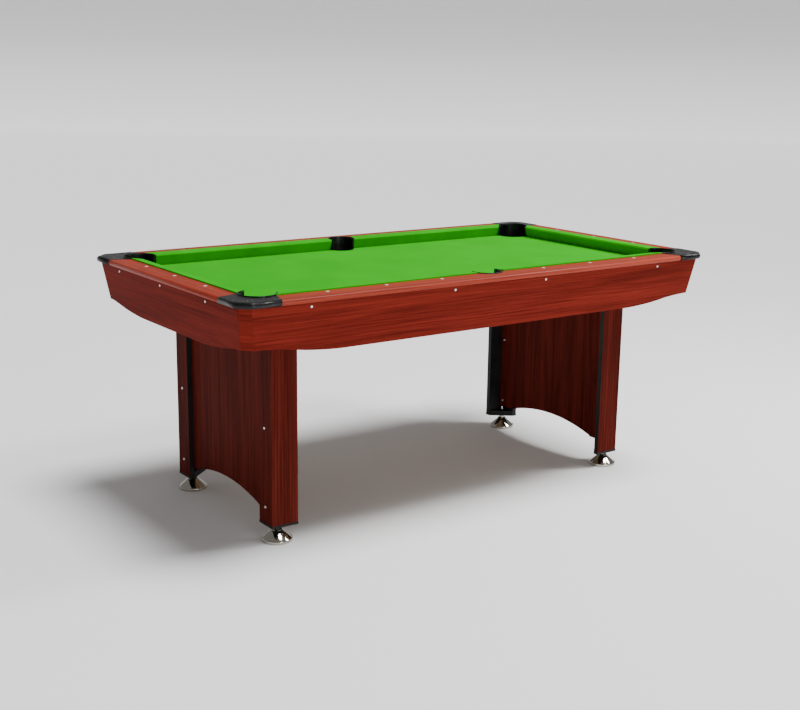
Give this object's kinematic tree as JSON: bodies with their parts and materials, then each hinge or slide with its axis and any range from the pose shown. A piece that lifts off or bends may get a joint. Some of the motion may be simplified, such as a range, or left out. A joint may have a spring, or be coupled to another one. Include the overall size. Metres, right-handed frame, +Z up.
{
  "type": "pool table",
  "caption": "Six-foot pool table: cloth-covered bed with drop pockets and cushioned rails, leaning aprons, and two arched panel pedestals on screw-adjustable levelling feet.",
  "frame": {"origin": "on the floor under the middle of the table", "axes": "+X along the table, +Y across it towards the back, +Z up"},
  "size_m": [1.836, 1.026, 0.791],
  "materials": {
    "rail_laminate": "satin mahogany laminate",
    "apron_laminate": "satin mahogany laminate with straight grain",
    "leg_laminate": "satin mahogany laminate, black edging",
    "board": "raw fibreboard",
    "cloth": "napped wool-blend playing cloth",
    "cushion_cloth": "playing cloth stretched over rubber",
    "black_plastic": "satin moulded black",
    "shoe_plastic": "matt moulded black",
    "chrome": "polished plate",
    "steel": "zinc-plated thread",
    "sight": "polished off-white",
    "screw": "bright plated heads"
  },
  "bodies": {
    "table": {"bed_board": "board", "bed_beam_left": "board", "bed_beam_right": "board", "leg_mount_board_left": "board", "leg_mount_board_right": "board", "bed_cloth": "cloth", "side_rail_front": "rail_laminate", "side_rail_back": "rail_laminate", "end_rail_left": "rail_laminate", "end_rail_right": "rail_laminate", "cushion_front_left": "cushion_cloth", "cushion_front_right": "cushion_cloth", "cushion_back_left": "cushion_cloth", "cushion_back_right": "cushion_cloth", "cushion_left": "cushion_cloth", "cushion_right": "cushion_cloth", "corner_cap_front_left": "black_plastic", "corner_cap_front_right": "black_plastic", "corner_cap_back_left": "black_plastic", "corner_cap_back_right": "black_plastic", "side_pocket_front": "black_plastic", "side_pocket_back": "black_plastic", "corner_cup_front_left": "black_plastic", "corner_cup_front_right": "black_plastic", "corner_cup_back_left": "black_plastic", "corner_cup_back_right": "black_plastic", "apron_front": "apron_laminate", "apron_back": "apron_laminate", "apron_left": "apron_laminate", "apron_right": "apron_laminate", "corner_post_front_left": "apron_laminate", "corner_post_front_right": "apron_laminate", "corner_post_back_left": "apron_laminate", "corner_post_back_right": "apron_laminate", "leg_side_board_front_left": "leg_laminate", "leg_side_board_front_right": "leg_laminate", "leg_side_board_back_left": "leg_laminate", "leg_side_board_back_right": "leg_laminate", "leg_end_board_front_left": "leg_laminate", "leg_end_board_front_right": "leg_laminate", "leg_end_board_back_left": "leg_laminate", "leg_end_board_back_right": "leg_laminate", "arch_panel_left": "leg_laminate", "arch_panel_right": "leg_laminate", "leg_shoe_front_left": "shoe_plastic", "leg_shoe_front_right": "shoe_plastic", "leg_shoe_back_left": "shoe_plastic", "leg_shoe_back_right": "shoe_plastic", "rail_sights": "sight", "apron_screws": "screw", "leg_bolts": "screw", "leg_nuts": "steel"},
    "foot_front_left": {"leveller_foot_front_left": "chrome"},
    "stem_front_left": {"leveller_stem_front_left": "steel"},
    "foot_front_right": {"leveller_foot_front_right": "chrome"},
    "stem_front_right": {"leveller_stem_front_right": "steel"},
    "foot_back_left": {"leveller_foot_back_left": "chrome"},
    "stem_back_left": {"leveller_stem_back_left": "steel"},
    "foot_back_right": {"leveller_foot_back_right": "chrome"},
    "stem_back_right": {"leveller_stem_back_right": "steel"}
  },
  "joints": [
    {"name": "leveller_lift_front_left", "type": "slide", "parent": "table", "child": "foot_front_left", "axis": [0, 0, 1], "range_m": [-0.02, 0]},
    {"name": "leveller_turn_front_left", "type": "hinge", "parent": "foot_front_left", "child": "stem_front_left", "pos_m": [-0.682, -0.286, 0.044], "axis": [0, 0, 1], "range_deg": [-4810, 0]},
    {"name": "leveller_lift_front_right", "type": "slide", "parent": "table", "child": "foot_front_right", "axis": [0, 0, 1], "range_m": [-0.02, 0]},
    {"name": "leveller_turn_front_right", "type": "hinge", "parent": "foot_front_right", "child": "stem_front_right", "pos_m": [0.682, -0.286, 0.044], "axis": [0, 0, 1], "range_deg": [-4810, 0]},
    {"name": "leveller_lift_back_left", "type": "slide", "parent": "table", "child": "foot_back_left", "axis": [0, 0, 1], "range_m": [-0.02, 0]},
    {"name": "leveller_turn_back_left", "type": "hinge", "parent": "foot_back_left", "child": "stem_back_left", "pos_m": [-0.682, 0.286, 0.044], "axis": [0, 0, 1], "range_deg": [-4810, 0]},
    {"name": "leveller_lift_back_right", "type": "slide", "parent": "table", "child": "foot_back_right", "axis": [0, 0, 1], "range_m": [-0.02, 0]},
    {"name": "leveller_turn_back_right", "type": "hinge", "parent": "foot_back_right", "child": "stem_back_right", "pos_m": [0.682, 0.286, 0.044], "axis": [0, 0, 1], "range_deg": [-4810, 0]}
  ],
  "couplings": [
    {"joint": "leveller_turn_front_left", "follows": "leveller_lift_front_left", "rad_per_m": 4188.8},
    {"joint": "leveller_turn_front_right", "follows": "leveller_lift_front_right", "rad_per_m": 4188.8},
    {"joint": "leveller_turn_back_left", "follows": "leveller_lift_back_left", "rad_per_m": 4188.8},
    {"joint": "leveller_turn_back_right", "follows": "leveller_lift_back_right", "rad_per_m": 4188.8}
  ]
}
